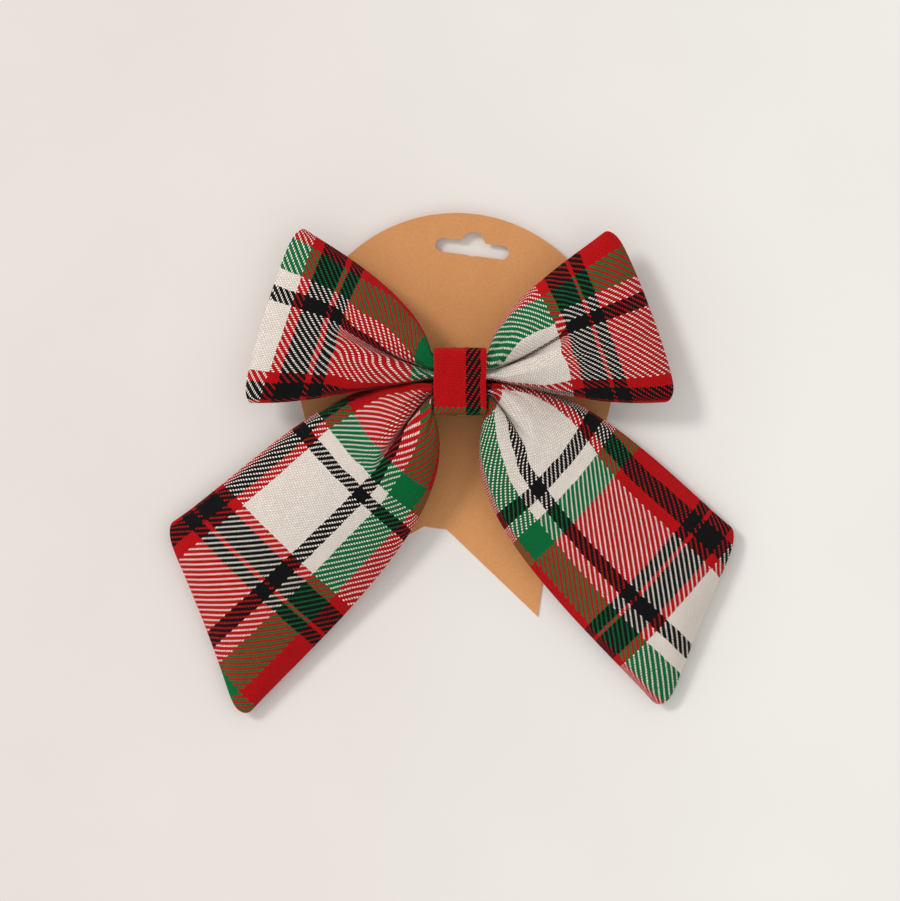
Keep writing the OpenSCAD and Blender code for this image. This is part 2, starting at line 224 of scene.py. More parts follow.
# end_z, end_t: height of the seam and thickness of the padding at the lobes' ends.
# turned: the strip lies with its pattern turned half round.
# fan_reach: share of a lobe from which its threads run square instead of fanning round the knot.
# tuck: how far the upper edge dips beside the knot.
# deepest: how far a gather may go down below the seam.
# grain, square_stretch, square_shift: direction, stretch and offset of the threads that run square.
# start: flat cloth from the strip's middle to the knot's edge on each side.
# flare: how much wider than CLOTH_WIDTH the strip is cut at its end.
# roll: cloth rolled under along the lower and the upper edge, near the knot and at the end.
# pleats: where each gather starts and ends across the lobe, its width, depth and reach.
LOOPS = {"name": "loops", "lobes": (LOOP_LEFT, LOOP_RIGHT), "end_z": 16, "end_t": 9,
         "rows": 38, "columns": 44, "turned": False, "fan_reach": 0.9, "tuck": 0, "deepest": 1.5,
         "grain": (grain(161), grain(20)), "square_stretch": (1.0, 1.0), "square_shift": (4.8, 6.5),
         "start": (6.5, 9.5), "roll": (((15, 3.5), (9.5, 4)), ((15, 5), (9.5, 0))),
         "flare": (0, 0),
         "pleats": ([(0.33, 0.54, 0.075, 11, 0.62), (0.10, 0.18, 0.05, 2.5, 0.4)],
                    [(0.34, 0.54, 0.075, 10.5, 0.60), (0.76, 0.80, 0.05, 2, 0.4)])}
TAILS = {"name": "tails", "lobes": (TAIL_LEFT, TAIL_RIGHT), "end_z": 6.2, "end_t": 8,
         "rows": 60, "columns": 44, "turned": True, "fan_reach": 0.7, "tuck": 6, "deepest": 2.0,
         "grain": (grain(226), grain(317.5)), "square_stretch": (1.012, 1.036),
         "square_shift": (8.5, 3.9), "start": (11.3, 5.0),
         "roll": (((8.5, 0), (10.5, 3.4)), ((11, 5.9), (12.4, 1))), "flare": (0, 4.5),
         "pleats": ([(0.56, 0.44, 0.075, 12, 0.46), (0.86, 0.74, 0.05, 3, 0.3)],
                    [(0.56, 0.50, 0.07, 9, 0.38), (0.86, 0.76, 0.05, 3, 0.3)])}


# ---- Mesh helpers ----

def new_object(name, points, faces, smooth_shading=True):
    mesh = bpy.data.meshes.new(name)
    mesh.from_pydata([tuple(p) for p in np.asarray(points, float)], [], faces)
    mesh.update()
    if smooth_shading:
        mesh.polygons.foreach_set("use_smooth", [True] * len(mesh.polygons))
    piece = bpy.data.objects.new(name, mesh)
    bpy.context.scene.collection.objects.link(piece)
    return piece


def grid_faces(rows, columns, first=0, flip=False):
    faces = []
    for i in range(rows - 1):
        for j in range(columns - 1):
            a = first + i * columns + j
            quad = (a, a + columns, a + columns + 1, a + 1)
            faces.append(quad[::-1] if flip else quad)
    return faces


def add_cloth_map(piece, s, t):
    """Stores the flat cloth place of every corner, in centimetres, for the plaid."""
    place = np.stack([np.ravel(s), np.ravel(t)], axis=1) / 10
    layer = piece.data.uv_layers.new(name="cloth")
    corners = np.empty(len(piece.data.loops), int)
    piece.data.loops.foreach_get("vertex_index", corners)
    layer.data.foreach_set("uv", place[corners].ravel())


def subdivide(piece, levels):
    modifier = piece.modifiers.new("smooth", "SUBSURF")
    modifier.levels = levels
    modifier.render_levels = levels


# ---- Filling the strips: a cloth simulation on the sewn pair of panels ----

SIM_SCALE = 10                  # the solver behaves best on things about a metre long
SIM_FRAMES = 24
SIM_CAP = 7.0                   # furthest that the filling may move a point, in millimetres
KNOT_HOLD_ROWS = 3              # rows beside the knot over which its full hold dies away
LEAST_HOLD = 0.02
LEAST_BACK_HOLD = 0.08
SEAM_HOLD = 0.35                # at a lobe's end
SEAM_HOLD_GAIN = 0.4            # added to that along the long seams, most beside the knot
CLOTH_SETTINGS = {"quality": 8, "mass": 0.25, "tension_stiffness": 20, "compression_stiffness": 12,
                  "shear_stiffness": 4, "bending_stiffness": 0.08, "tension_damping": 10,
                  "compression_damping": 10, "shear_damping": 10, "bending_damping": 1,
                  "air_damping": 8, "vertex_group_mass": "held", "pin_stiffness": 1.0,
                  "use_pressure": True, "uniform_pressure_force": 2.2}


def sewn_shell(front, back):
    """Front and back grids joined along their rims. Returns points, faces and back indices."""
    rows, columns = front.shape[:2]
    points = list(front.reshape(-1, 3))
    index = np.arange(rows * columns).reshape(rows, columns)
    back_index = index.copy()
    for i in range(1, rows - 1):
        for j in range(1, columns - 1):
            back_index[i, j] = len(points)
            points.append(back[i, j])
    faces = grid_faces(rows, columns)
    for i in range(rows - 1):
        for j in range(columns - 1):
            faces.append((back_index[i, j], back_index[i, j + 1],
                          back_index[i + 1, j + 1], back_index[i + 1, j]))
    return np.array(points), faces, back_index


def hold_weights(rows, columns):
    """How firmly each point is held: fully inside the knot, gently along the seams."""
    side_rows = (rows - THROAT_ROWS) // 2
    i = np.arange(rows)
    from_knot = np.maximum(0, np.maximum(side_rows - 1 - i, i - side_rows - THROAT_ROWS))
    u = from_knot / (side_rows - 1)
    body = np.clip(1 - from_knot / KNOT_HOLD_ROWS, LEAST_HOLD, 1)[:, None]
    rim = np.zeros((rows, columns))
    rim[[0, -1]] = SEAM_HOLD
    rim[:, [0, -1]] = SEAM_HOLD + SEAM_HOLD_GAIN * (1 - u)[:, None]
    return np.maximum(body, rim)


def solver_piece(points, faces, weight, flat):
    """The sewn pair as an object for the solver, with its hold and its flat cut shape."""
    piece = new_object("filling", points * MM * SIM_SCALE, faces)
    group = piece.vertex_groups.new(name="held")
    weight = np.round(weight, 3)
    for level in np.unique(weight):
        members = np.nonzero(weight == level)[0]
        group.add([int(k) for k in members], float(level), "REPLACE")
    piece.shape_key_add(name="now")
    cut = piece.shape_key_add(name="cut")
    cut.data.foreach_set("co", (flat * MM * SIM_SCALE).ravel())
    cut.value = 0
    return piece, cut


def add_solver(piece, cut):
    """Makes the piece cloth that wants its cut size, blown up by the filling, without weight."""
    modifier = piece.modifiers.new("cloth", "CLOTH")
    modifier.settings.rest_shape_key = cut
    for name, value in CLOTH_SETTINGS.items():
        setattr(modifier.settings, name, value)
    modifier.settings.effector_weights.gravity = 0
    modifier.collision_settings.use_collision = False
    modifier.collision_settings.use_self_collision = False
    modifier.point_cache.frame_start = 1
    modifier.point_cache.frame_end = SIM_FRAMES


def settled_points(piece):
    """Runs the simulation. Returns where every point comes to rest, in millimetres."""
    scene = bpy.context.scene
    for number in range(1, SIM_FRAMES + 1):
        scene.frame_set(number)
    settled = piece.evaluated_get(bpy.context.evaluated_depsgraph_get()).to_mesh()
    moved = np.empty(len(settled.vertices) * 3)
    settled.vertices.foreach_get("co", moved)
    scene.frame_set(1)
    return moved.reshape(-1, 3) / (MM * SIM_SCALE)


def fill_strip(front, back, s, t):
    """Lets the cloth find its own folds between its held seams. Sizes are millimetres."""
    points, faces, back_index = sewn_shell(front, back)
    rows, columns = front.shape[:2]
    front_index = np.arange(rows * columns)
    back_index = back_index.ravel()
    hold = hold_weights(rows, columns)
    weight = np.zeros(len(points))
    weight[front_index] = hold.ravel()
    weight[back_index] = np.maximum(hold, LEAST_BACK_HOLD).ravel()
    place = np.stack([s, t, 0 * s], axis=-1).reshape(-1, 3)
    flat = np.zeros_like(points)
    flat[front_index] = place
    flat[back_index] = place

    piece, cut = solver_piece(points, faces, weight, flat)
    add_solver(piece, cut)
    shift = settled_points(piece) - points
    bpy.data.objects.remove(piece)

    size = np.linalg.norm(shift, axis=1, keepdims=True)
    shift *= np.minimum(1, SIM_CAP / np.maximum(size, 1e-9))
    moved = points + shift
    moved[:, 2] = np.maximum(moved[:, 2], REST_GAP)
    return moved[front_index].reshape(front.shape), moved[back_index].reshape(front.shape)


def lift_off_clip(grid, gap):
    """Raises cloth that would cut through the clip until it lies over it."""
    beyond_end = np.abs(grid[..., 0] - CLIP_MIDDLE_X) - CLIP_HALF_LENGTH
    beyond_side = np.abs(grid[..., 1]) - CLIP_HALF_WIDTH
    beyond = np.maximum(0, np.maximum(beyond_end, beyond_side))
    lifted = grid.copy()
    lifted[..., 2] = np.maximum(grid[..., 2], CLIP_TOP + gap - beyond)
    return lifted


def make_strip(strip, cloth, wadding, nodes):
    """Both panels of a strip and the wadding between them, in place of their three CAD nodes."""
    front = strip_surface(strip, True)
    back = strip_surface(strip, False)
    s, t = strip_cloth(strip)
    front, back = fill_strip(front, back, s, t)
    front = lift_off_clip(front, FRONT_OVER_CLIP)
    back = lift_off_clip(back, BACK_OVER_CLIP)
    rows, columns = front.shape[:2]
    panels = []
    for side, grid, flip in (("front", front, False), ("back", back, True)):
        piece = new_object(f"{strip['name']}_{side}_cloth", grid.reshape(-1, 3) * MM,
                           grid_faces(rows, columns, flip=flip))
        add_cloth_map(piece, s, t)
        subdivide(piece, 1)
        piece.data.materials.append(cloth)
        panels.append(piece)
    for piece, node in zip(panels, nodes[:2]):
        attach(piece, "bow")
        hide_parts(node)
    make_batting(strip["name"], front, back, wadding, nodes[2])


def make_batting(name, front, back, wadding, node):
    """The wadding between the panels, a little smaller than the room they leave."""
    inner = slice(WADDING_MARGIN, -WADDING_MARGIN)
    top = front[inner, inner] - [0, 0, WADDING_GAP]
    bottom = back[inner, inner] + [0, 0, WADDING_GAP]
    middle = (top + bottom) / 2
    half = np.maximum(top[..., 2] - bottom[..., 2], LEAST_WADDING) / 2
    top = np.dstack([middle[..., :2], middle[..., 2] + half])
    bottom = np.dstack([middle[..., :2], middle[..., 2] - half])
    points, faces, _ = sewn_shell(top, bottom)
    piece = new_object(f"{name}_wadding", points * MM, faces)
    piece.data.materials.append(wadding)
    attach(piece, "bow")
    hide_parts(node)


# ---- Materials ----

class Nodes:
    """Short names for building a shader tree."""

    def __init__(self, name):
        self.material = bpy.data.materials.new(name)
        self.material.use_nodes = True
        self.tree = self.material.node_tree
        self.shader = self.tree.nodes["Principled BSDF"]

    def add(self, kind, **values):
        node = self.tree.nodes.new(kind)
        for key, value in values.items():
            setattr(node, key, value)
        return node

    def link(self, source, target):
        self.tree.links.new(source, target)

    def feed(self, socket, value):
        if isinstance(value, bpy.types.NodeSocket):
            self.link(value, socket)
        else:
            socket.default_value = value

    def math(self, operation, first, second=0.0):
        node = self.add("ShaderNodeMath", operation=operation)
        for socket, value in zip(node.inputs, (first, second)):
            self.feed(socket, value)
        return node.outputs[0]

    def mix(self, share, first, second, blend="MIX"):
        node = self.add("ShaderNodeMix", data_type="RGBA", blend_type=blend)
        self.feed(node.inputs[0], share)
        self.feed(node.inputs[6], first)
        self.feed(node.inputs[7], second)
        return node.outputs[2]

    def noise(self, scale, detail=2.0, vector=None, roughness=0.5):
        node = self.add("ShaderNodeTexNoise")
        node.inputs["Scale"].default_value = scale
        node.inputs["Detail"].default_value = detail
        node.inputs["Roughness"].default_value = roughness
        if vector is None:
            vector = self.add("ShaderNodeTexCoord").outputs["Object"]
        self.link(vector, node.inputs["Vector"])
        return node.outputs["Fac"]

    def span(self, value, low, high, out_low, out_high):
        node = self.add("ShaderNodeMapRange")
        for socket, number in zip(node.inputs, (value, low, high, out_low, out_high)):
            self.feed(socket, number)
        return node.outputs[0]

    def choose(self, share, first, second):
        node = self.add("ShaderNodeMix", data_type="FLOAT")
        for socket, value in zip((node.inputs[0], node.inputs[2], node.inputs[3]),
                                 (share, first, second)):
            self.link(value, socket)
        return node.outputs[0]

    def grey(self, colour):
        node = self.add("ShaderNodeRGBToBW")
        self.link(colour, node.inputs[0])
        return node.outputs[0]

    def as_colour(self, shade):
        node = self.add("ShaderNodeCombineColor")
        for socket in node.inputs[:3]:
            self.link(shade, socket)
        return node.outputs[0]

    def bump(self, height, strength, distance):
        node = self.add("ShaderNodeBump")
        node.inputs["Strength"].default_value = strength
        node.inputs["Distance"].default_value = distance
        self.link(height, node.inputs["Height"])
        self.link(node.outputs[0], self.shader.inputs["Normal"])


CREAM = (0.83, 0.74, 0.66, 1)
RED = (0.50, 0.004, 0.006, 1)
GREEN = (0.001, 0.150, 0.040, 1)
BLACK = (0.005, 0.005, 0.005, 1)

# Stripe widths in millimetres. The cross stripes repeat along the cloth.
CROSS_STRIPES = [(RED, 4.7), (BLACK, 10.8), (RED, 2.2), (BLACK, 5.2), (RED, 37.4),
                 (GREEN, 12.0), (CREAM, 6.5), (BLACK, 6.5), (CREAM, 37.4)]
LONG_STRIPES = [(RED, 3.4), (BLACK, 9.0), (RED, 4.9), (CREAM, 29.2), (BLACK, 6.5),
                (CREAM, 6.6), (GREEN, 13.7), (RED, 9.7)]
# The knot's cloth: across the band, and round it, where the stripes meet at the seam behind.
KNOT_CROSS = [(BLACK, 5.7), (RED, 60.0)]
KNOT_LONG = [(GREEN, 12.0), (CREAM, 6.5), (BLACK, 6.5), (CREAM, 9.8), (RED, 56.3)]
# Yarn to yarn along the strip and across it. The strips are stretched in different ways.
LOOPS_PITCH = (0.79, 0.79)
TAILS_PITCH = (0.94, 0.70)
KNOT_PITCH = (0.62, 0.99)
FLOAT_LENGTH = 1.52             # visible size of a pale float among darker yarns, in yarns
FLOAT_WIDTH = 0.66
FLOAT_POWER = 2.4               # 2 would make the floats ellipses, and more makes them squarer
PALE_STEP = 0.05                # how much paler a yarn is than the one under it to count as pale
TWILL_REPEAT = 4.0              # two yarns up and two down
PALE_FIBRE = (0.62, 0.50, 0.44, 1)
# Where the first stripe of each pattern starts on the flat cloth, in millimetres.
LOOPS_CROSS_START = 46.4
TAILS_CROSS_START = -11.6
STRIP_LONG_START = 0.0
KNOT_CROSS_START = 2.6
KNOT_LONG_START = 27.5


def stripe_colour(n, position, stripes, start):
    """The colour of the stripe at a position in millimetres, with the pattern repeated."""
    period = sum(width for _, width in stripes)
    shifted = n.math("SUBTRACT", position, start)
    share = n.math("FRACT", n.math("DIVIDE", shifted, period))
    ramp = n.add("ShaderNodeValToRGB")
    ramp.color_ramp.interpolation = "CONSTANT"
    edge = 0.0
    for number, (colour, width) in enumerate(stripes):
        if number < 2:
            element = ramp.color_ramp.elements[number]
            element.position = edge / period
        else:
            element = ramp.color_ramp.elements.new(edge / period)
        element.color = colour
        edge += width
    n.link(share, ramp.inputs[0])
    return ramp.outputs[0]


def yarn_place(n, place, pitch):
    """Places along and across the cloth, counted in yarns. The yarns wander and shiver a little."""
    split = n.add("ShaderNodeSeparateXYZ")
    n.link(place, split.inputs[0])
    along = n.math("MULTIPLY", split.outputs[0], 10.0)
    across = n.math("MULTIPLY", split.outputs[1], 10.0)
    wander = n.math("MULTIPLY", n.math("SUBTRACT", n.noise(1.3, 3.0, place), 0.5), 1.1)
    shiver = n.math("MULTIPLY", n.math("SUBTRACT", n.noise(9.0, 2.0, place), 0.5), 0.45)
    drift = n.math("ADD", wander, shiver)
    column = n.math("DIVIDE", n.math("ADD", along, drift), pitch[0])
    row = n.math("DIVIDE", n.math("SUBTRACT", across, drift), pitch[1])
    return column, row


def yarn_colour(n, number, pitch, stripes, start):
    """The colour of a whole yarn: the stripe that its middle lies in."""
    middle = n.math("MULTIPLY", n.math("ADD", number, 0.5), pitch)
    return stripe_colour(n, middle, stripes, start)


def float_rim(n, cross_up, column, row, column_number, row_number):
    """0 in the middle of a float and 1 at its visible rim. A float is two yarns long, one wide."""
    cross_run = n.math("FLOORED_MODULO", n.math("ADD", column_number, row), TWILL_REPEAT)
    long_place = n.math("ADD", n.math("ADD", column, row_number), 2.0)
    long_run = n.math("FLOORED_MODULO", long_place, TWILL_REPEAT)
    run = n.math("SUBTRACT", n.choose(cross_up, long_run, cross_run), 1.0)
    side = n.math("SUBTRACT", n.math("FRACT", n.choose(cross_up, row, column)), 0.5)
    run_share = n.math("DIVIDE", n.math("ABSOLUTE", run), FLOAT_LENGTH / 2)
    side_share = n.math("DIVIDE", n.math("ABSOLUTE", side), FLOAT_WIDTH / 2)
    return n.math("ADD", n.math("POWER", run_share, FLOAT_POWER),
                  n.math("POWER", side_share, FLOAT_POWER))


def float_shade(n, cross_up, column_number, row_number):
    """A lightness of its own for each float."""
    place = n.add("ShaderNodeCombineXYZ")
    diagonal = n.math("DIVIDE", n.math("ADD", column_number, row_number), 2.0)
    n.link(n.math("FLOOR", diagonal), place.inputs[0])
    n.link(n.choose(cross_up, row_number, column_number), place.inputs[1])
    chance = n.add("ShaderNodeTexWhiteNoise", noise_dimensions="2D")
    n.link(place.outputs[0], chance.inputs["Vector"])
    return n.span(chance.outputs["Value"], 0.0, 1.0, 0.94, 1.05)


def plaid(name, pitch, cross, cross_start, long, long_start):
    """Yarn-dyed two-up two-down twill: each crossing shows one yarn, and so one stripe."""
    n = Nodes(name)
    place = n.add("ShaderNodeUVMap", uv_map="cloth").outputs[0]
    column, row = yarn_place(n, place, pitch)
    column_number = n.math("FLOOR", column)
    row_number = n.math("FLOOR", row)
    cross_colour = yarn_colour(n, column_number, pitch[0], cross, cross_start)
    long_colour = yarn_colour(n, row_number, pitch[1], long, long_start)
    order = n.math("FLOORED_MODULO", n.math("ADD", column_number, row_number), TWILL_REPEAT)
    cross_up = n.math("LESS_THAN", order, 1.5)
    upper = n.mix(cross_up, long_colour, cross_colour)
    lower = n.mix(cross_up, cross_colour, long_colour)
    rim = float_rim(n, cross_up, column, row, column_number, row_number)

    # A darker yarn spreads round a paler float, so the float shows only inside its rim.
    paler = n.math("GREATER_THAN", n.math("SUBTRACT", n.grey(upper), n.grey(lower)), PALE_STEP)
    outside = n.math("GREATER_THAN", rim, 1.0)
    colour = n.mix(n.math("MULTIPLY", paler, outside), upper, lower)

    yarn = n.span(rim, 0.0, 1.9, 1.0, 0.0)
    fluff = n.noise(95.0, 3.0, place, 0.7)
    # Painted shade in the gaps at each float's rim, and a painted highlight on the middle of each
    # float.
    gap_shade = n.span(yarn, 0.0, 1.0, 0.68, 1.17)
    fluff_shade = n.span(fluff, 0.3, 0.7, 0.93, 1.06)
    mottle_shade = n.span(n.noise(2.2, 3.0, place), 0.3, 0.7, 0.98, 1.02)
    own_shade = float_shade(n, cross_up, column_number, row_number)
    shade = n.math("MULTIPLY", n.math("MULTIPLY", gap_shade, own_shade),
                   n.math("MULTIPLY", fluff_shade, mottle_shade))
    colour = n.mix(1.0, colour, n.as_colour(shade), "MULTIPLY")
    colour = n.mix(n.span(fluff, 0.66, 0.82, 0.0, 0.03), colour, PALE_FIBRE)
    n.link(colour, n.shader.inputs["Base Color"])
    n.shader.inputs["Roughness"].default_value = 0.92
    n.shader.inputs["Specular IOR Level"].default_value = 0.06
    n.shader.inputs["Sheen Weight"].default_value = 0.03
    n.shader.inputs["Sheen Roughness"].default_value = 0.6
    n.bump(n.math("ADD", yarn, n.math("MULTIPLY", fluff, 0.7)), 0.7, 0.00022)
    return n.material


def wadding_material():
    """White polyester fibre."""
    n = Nodes("wadding")
    fibre = n.noise(900.0, 6.0, None, 0.7)
    shade = n.span(fibre, 0.3, 0.7, 0.80, 0.93)
    n.link(n.as_colour(shade), n.shader.inputs["Base Color"])
    n.shader.inputs["Roughness"].default_value = 1.0
    n.bump(fibre, 0.6, 0.0006)
    return n.material


def kraft_material():
    """Uncoated kraft board: mottled pulp, pale and dark fibres, and a slightly rough face."""
    n = Nodes("kraft")
    cloud = n.noise(60.0, 4.0)
    pulp = n.noise(900.0, 4.0, None, 0.65)
    colour = n.mix(n.span(cloud, 0.3, 0.7, 0.0, 1.0), (0.665, 0.302, 0.112, 1),
                   (0.705, 0.326, 0.126, 1))
    colour = n.mix(n.span(pulp, 0.35, 0.75, 0.0, 0.35), colour, (0.50, 0.225, 0.085, 1))
    place = n.add("ShaderNodeTexCoord").outputs["Object"]
    stretched = n.add("ShaderNodeMapping")
    stretched.inputs["Scale"].default_value = (500.0, 2600.0, 500.0)
    stretched.inputs["Rotation"].default_value = (0, 0, 0.5)
    n.link(place, stretched.inputs["Vector"])
    fibres = n.noise(1.0, 3.0, stretched.outputs[0])
    colour = n.mix(n.span(fibres, 0.66, 0.74, 0.0, 0.5), colour, (0.70, 0.40, 0.20, 1))
    dark = n.noise(1400.0, 1.0)
    colour = n.mix(n.span(dark, 0.70, 0.76, 0.0, 0.4), colour, (0.33, 0.14, 0.05, 1))
    n.link(colour, n.shader.inputs["Base Color"])
    n.link(n.span(pulp, 0.3, 0.7, 0.78, 0.9), n.shader.inputs["Roughness"])
    n.shader.inputs["Specular IOR Level"].default_value = 0.25
    n.bump(n.math("ADD", pulp, fibres), 0.25, 0.00008)
    return n.material


def steel_material():
    """Nickel-plated sheet: fine brush lines, smudges and duller worn spots."""
    n = Nodes("clip_steel")
    place = n.add("ShaderNodeTexCoord").outputs["Object"]
    stretched = n.add("ShaderNodeMapping")
    stretched.inputs["Scale"].default_value = (300.0, 9000.0, 9000.0)
    n.link(place, stretched.inputs["Vector"])
    brushed = n.noise(1.0, 3.0, stretched.outputs[0])
    smudge = n.noise(220.0, 4.0)
    n.link(n.mix(n.span(smudge, 0.35, 0.75, 0.0, 0.6), (0.66, 0.66, 0.65, 1),
                 (0.50, 0.49, 0.47, 1)), n.shader.inputs["Base Color"])
    n.shader.inputs["Metallic"].default_value = 1.0
    rough = n.math("ADD", n.span(brushed, 0.3, 0.7, 0.22, 0.34),
                   n.span(smudge, 0.4, 0.8, 0.0, 0.18))
    n.link(rough, n.shader.inputs["Roughness"])
    n.bump(brushed, 0.15, 0.00004)
    return n.material


def ribbon_material():
    """Grosgrain: fine ribs across the ribbon, with painted shade in their grooves and paler crests."""
    n = Nodes("grosgrain")
    place = n.add("ShaderNodeTexCoord").outputs["Object"]
    split = n.add("ShaderNodeSeparateXYZ")
    n.link(place, split.inputs[0])
    rib = n.math("PINGPONG", n.math("DIVIDE", split.outputs[0], 0.0007), 0.5)
    # Painted shade: each rib is darker in its groove and paler on its crest.
    shade = n.mix(n.span(rib, 0.0, 0.5, 0.0, 1.0), (0.006, 0.006, 0.007, 1),
                  (0.030, 0.030, 0.033, 1))
    fluff = n.noise(2500.0, 2.0)
    shade = n.mix(n.span(fluff, 0.6, 0.8, 0.0, 0.3), shade, (0.09, 0.09, 0.095, 1))
    n.link(shade, n.shader.inputs["Base Color"])
    n.shader.inputs["Roughness"].default_value = 0.7
    n.shader.inputs["Sheen Weight"].default_value = 0.2
    n.bump(rib, 0.8, 0.0002)
    return n.material


def thread_material():
    """Twisted red sewing thread."""
    n = Nodes("red_thread")
    twist = n.noise(3500.0, 2.0)
    n.link(n.mix(n.span(twist, 0.3, 0.7, 0.0, 1.0), (0.20, 0.006, 0.006, 1),
                 (0.42, 0.018, 0.018, 1)), n.shader.inputs["Base Color"])
    n.shader.inputs["Roughness"].default_value = 0.6
    n.bump(twist, 0.6, 0.0001)
    return n.material


def glue_material():
    """Cloudy yellowish hot glue."""
    n = Nodes("hot_glue")
    cloud = n.noise(400.0, 3.0)
    n.link(n.mix(n.span(cloud, 0.3, 0.7, 0.0, 1.0), (0.72, 0.64, 0.48, 1),
                 (0.84, 0.78, 0.62, 1)), n.shader.inputs["Base Color"])
    n.link(n.span(cloud, 0.3, 0.7, 0.25, 0.45), n.shader.inputs["Roughness"])
    n.shader.inputs["Subsurface Weight"].default_value = 0.2
    n.bump(cloud, 0.3, 0.0003)
    return n.material


def interlining_material():
    """White non-woven stiffener."""
    n = Nodes("interlining")
    fibre = n.noise(1800.0, 5.0, None, 0.7)
    n.link(n.mix(n.span(fibre, 0.3, 0.7, 0.0, 1.0), (0.62, 0.62, 0.60, 1),
                 (0.84, 0.84, 0.82, 1)), n.shader.inputs["Base Color"])
    n.shader.inputs["Roughness"].default_value = 0.95
    n.bump(fibre, 0.6, 0.0002)
    return n.material


def dress(node, material):
    """Gives a CAD node that keeps its own shape its material."""
    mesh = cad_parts[node].data
    mesh.materials.clear()
    mesh.materials.append(material)


# ---- The knot band ----

KNOT_CORNER = 4.0               # radius of the outline's corners
CORNER_STEPS = 10
BAND_AROUND = 132               # mesh points round the knot
BAND_ACROSS = 27
BAND_WALL = 1.0


def ring_outline(count, height, depth, corner):
    """Points round a rounded rectangle in the YZ plane, their distances along it, and its length."""
    points = []
    for quarter, (sy, sz) in enumerate([(1, 1), (-1, 1), (-1, -1), (1, -1)]):
        for k in range(CORNER_STEPS + 1):
            angle = math.radians(90 * quarter + 90 * k / CORNER_STEPS)
            points.append((sy * (height / 2 - corner) + corner * math.cos(angle),
                           sz * (depth / 2 - corner) + corner * math.sin(angle)))
    points.append(points[0])
    points = np.array(points)
    length = np.concatenate([[0], np.cumsum(np.linalg.norm(np.diff(points, axis=0), axis=1))])
    even = np.linspace(0, length[-1], count + 1)[:-1]
    return np.stack([np.interp(even, length, points[:, k]) for k in (0, 1)], axis=1), even, length[-1]


def outline_normals(outline):
    along = np.roll(outline, -1, axis=0) - np.roll(outline, 1, axis=0)
    normal = np.stack([along[:, 1], -along[:, 0]], axis=1)
    return normal / np.linalg.norm(normal, axis=1, keepdims=True)


def band_level(x, distance, outer):
    """Height over the outline, x running from -1 to 1 across. The long edges are turned under."""
    turned = math.sqrt(max(0, 1 - abs(x) ** EDGE_POWER))
    if not outer:
        return -BAND_WALL * 0.5 - BAND_WALL * 0.45 * turned
    soft = 0.12 * math.sin(9 * x + distance * 0.25) + 0.10 * math.sin(5 * x - distance * 0.4)
    return -BAND_WALL * 0.5 + BAND_WALL * 0.5 * turned + soft * 0.8


def band_points(outline, distances, total):
    """The outer face and then the inner face, with the flat cloth place of every point."""
    half = KNOT_WIDTH / 2
    points = []
    cloth = []
    for outer in (True, False):
        for (y, z), (ny, nz), distance in zip(outline, outline_normals(outline), distances):
            turn = distance / total * 2 * math.pi
            pull = 0.5 * math.sin(turn * 3 + 0.7)
            pull += 0.3 * math.sin(turn * 7 + 2.0)
            for x in np.linspace(-1, 1, BAND_ACROSS):
                level = band_level(x, distance, outer)
                points.append((x * half + 0.25 * pull * abs(x) ** 3,
                               y + ny * level, KNOT_Z + z + nz * level))
                cloth.append((x * half, distance))
    return np.array(points), np.array(cloth)


def band_faces():
    """The outer face, the inner face, and the two long edges that join them."""
    inner = BAND_AROUND * BAND_ACROSS
    faces = []
    for first in (0, inner):
        for k in range(BAND_AROUND):
            here = first + k * BAND_ACROSS
            after = first + (k + 1) % BAND_AROUND * BAND_ACROSS
            for c in range(BAND_ACROSS - 1):
                quad = (here + c, after + c, after + c + 1, here + c + 1)
                faces.append(quad if first else quad[::-1])
    for k in range(BAND_AROUND):
        after = (k + 1) % BAND_AROUND
        for c, forward in ((0, True), (BAND_ACROSS - 1, False)):
            here = k * BAND_ACROSS + c
            there = after * BAND_ACROSS + c
            quad = (here, there, inner + there, inner + here)
            faces.append(quad if forward else quad[::-1])
    return faces


def make_knot_band(material):
    """A folded strip of cloth wrapped round both throats, its long edges turned under."""
    outline, distances, total = ring_outline(BAND_AROUND, KNOT_HEIGHT, KNOT_DEPTH, KNOT_CORNER)
    points, cloth = band_points(outline, distances, total)
    piece = new_object("knot_band_cloth", points * MM, band_faces())
    add_cloth_map(piece, cloth[:, 0], cloth[:, 1])
    subdivide(piece, 1)
    piece.data.materials.append(material)
    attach(piece, "bow")
    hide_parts("knot_band")


# ---- Stage, light and camera ----

FLOOR_HALF = 3.0                # metres
SHADE_FALLOFF_REACH = 0.15               # painted shade on the table fades from the darker, warmer left to the lit right over this distance either way
VIEW_WIDTH = 387 * MM           # width of the picture at the height VIEW_LEVEL
VIEW_LEVEL = 14 * MM
VIEW_CENTRE = (-4.3 * MM, -29.5 * MM)
TOWARD_WINDOW = (-0.66, 0.44, 0.72)


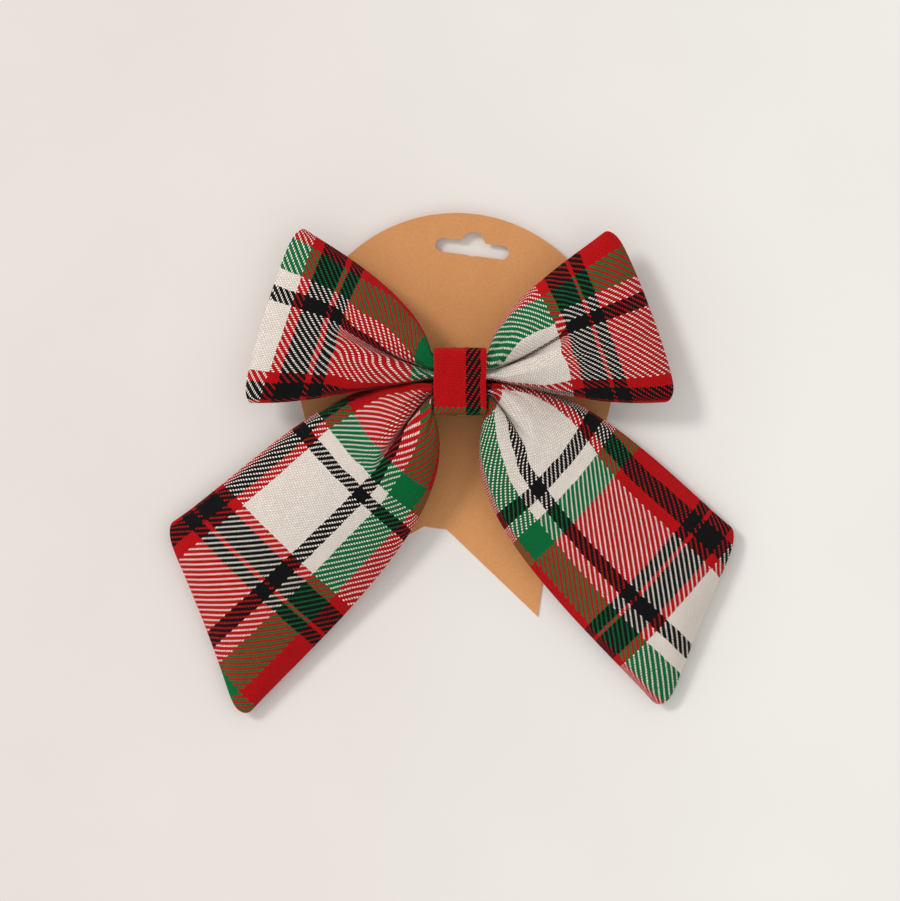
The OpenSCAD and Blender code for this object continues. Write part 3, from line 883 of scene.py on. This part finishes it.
def make_floor():
    """A pale table under the bow. Its left is painted a little darker and warmer: painted shade where
    the light falls off.
    """
    n = Nodes("table")
    mottle = n.noise(9.0, 3.0)
    split = n.add("ShaderNodeSeparateXYZ")
    n.link(n.add("ShaderNodeTexCoord").outputs["Object"], split.inputs[0])
    paler = n.span(split.outputs[0], -SHADE_FALLOFF_REACH, SHADE_FALLOFF_REACH, 0.0, 1.0)
    # Painted shade: the left of the table is darker and warmer than the lit right.
    shaded_left = n.mix(n.span(mottle, 0.3, 0.7, 0.0, 1.0), (0.780, 0.722, 0.684, 1),
                 (0.805, 0.748, 0.708, 1))
    lit_right = n.mix(n.span(mottle, 0.3, 0.7, 0.0, 1.0), (0.825, 0.800, 0.762, 1),
                 (0.850, 0.825, 0.788, 1))
    n.link(n.mix(paler, shaded_left, lit_right), n.shader.inputs["Base Color"])
    n.shader.inputs["Roughness"].default_value = 0.8
    n.shader.inputs["Specular IOR Level"].default_value = 0.1
    corners = [(-FLOOR_HALF, -FLOOR_HALF, 0), (FLOOR_HALF, -FLOOR_HALF, 0),
               (FLOOR_HALF, FLOOR_HALF, 0), (-FLOOR_HALF, FLOOR_HALF, 0)]
    floor = new_object("table_top", corners, [(0, 1, 2, 3)], False)
    floor.data.materials.append(n.material)


def make_light():
    """Soft daylight from all round, and a broad key from the upper left."""
    world = bpy.data.worlds.new("soft_room")
    bpy.context.scene.world = world
    world.use_nodes = True
    background = world.node_tree.nodes["Background"]
    background.inputs["Color"].default_value = (1.0, 0.996, 0.985, 1)
    background.inputs["Strength"].default_value = 0.76
    lamp = bpy.data.lights.new("window", "SUN")
    lamp.angle = math.radians(15)
    lamp.energy = 1.27
    lamp.color = (1.0, 0.985, 0.985)
    window = bpy.data.objects.new("window", lamp)
    toward = np.array(TOWARD_WINDOW)
    toward /= np.linalg.norm(toward)
    yaw = math.atan2(-toward[1], -toward[0])
    window.rotation_euler = (math.acos(toward[2]), 0, yaw - math.pi / 2)
    bpy.context.scene.collection.objects.link(window)


def make_camera():
    """Straight above the bow, far enough back to see it almost without perspective."""
    data = bpy.data.cameras.new("above")
    data.lens = 150
    data.sensor_width = 36
    data.clip_end = 20
    camera = bpy.data.objects.new("above", data)
    distance = VIEW_WIDTH * data.lens / data.sensor_width
    camera.location = (*VIEW_CENTRE, VIEW_LEVEL + distance)
    bpy.context.scene.collection.objects.link(camera)
    bpy.context.scene.camera = camera


# ---- Assembly ----

bpy.context.scene.view_settings.view_transform = "Standard"
make_camera()
make_light()
make_floor()

loops_plaid = plaid("loops_plaid", LOOPS_PITCH, CROSS_STRIPES, LOOPS_CROSS_START,
                    LONG_STRIPES, STRIP_LONG_START)
tails_plaid = plaid("tails_plaid", TAILS_PITCH, CROSS_STRIPES, TAILS_CROSS_START,
                    LONG_STRIPES, STRIP_LONG_START)
knot_plaid = plaid("knot_plaid", KNOT_PITCH, KNOT_CROSS, KNOT_CROSS_START,
                   KNOT_LONG, KNOT_LONG_START)
wadding = wadding_material()

make_strip(LOOPS, loops_plaid, wadding,
           ("loops_front_panel", "loops_back_panel", "loops_batting"))
make_strip(TAILS, tails_plaid, wadding,
           ("tails_front_panel", "tails_back_panel", "tails_batting"))
make_knot_band(knot_plaid)

steel = steel_material()
for node in ("clip_upper_arm", "clip_lower_jaw", "clip_pin", "clip_spring"):
    dress(node, steel)
thread = thread_material()
for node in ("loops_gather_thread", "tails_gather_thread", "knot_closing_stitches"):
    dress(node, thread)
dress("clip_lining_ribbon", ribbon_material())
dress("glue_pad", glue_material())
dress("knot_stiffener", interlining_material())
dress("display_card", kraft_material())
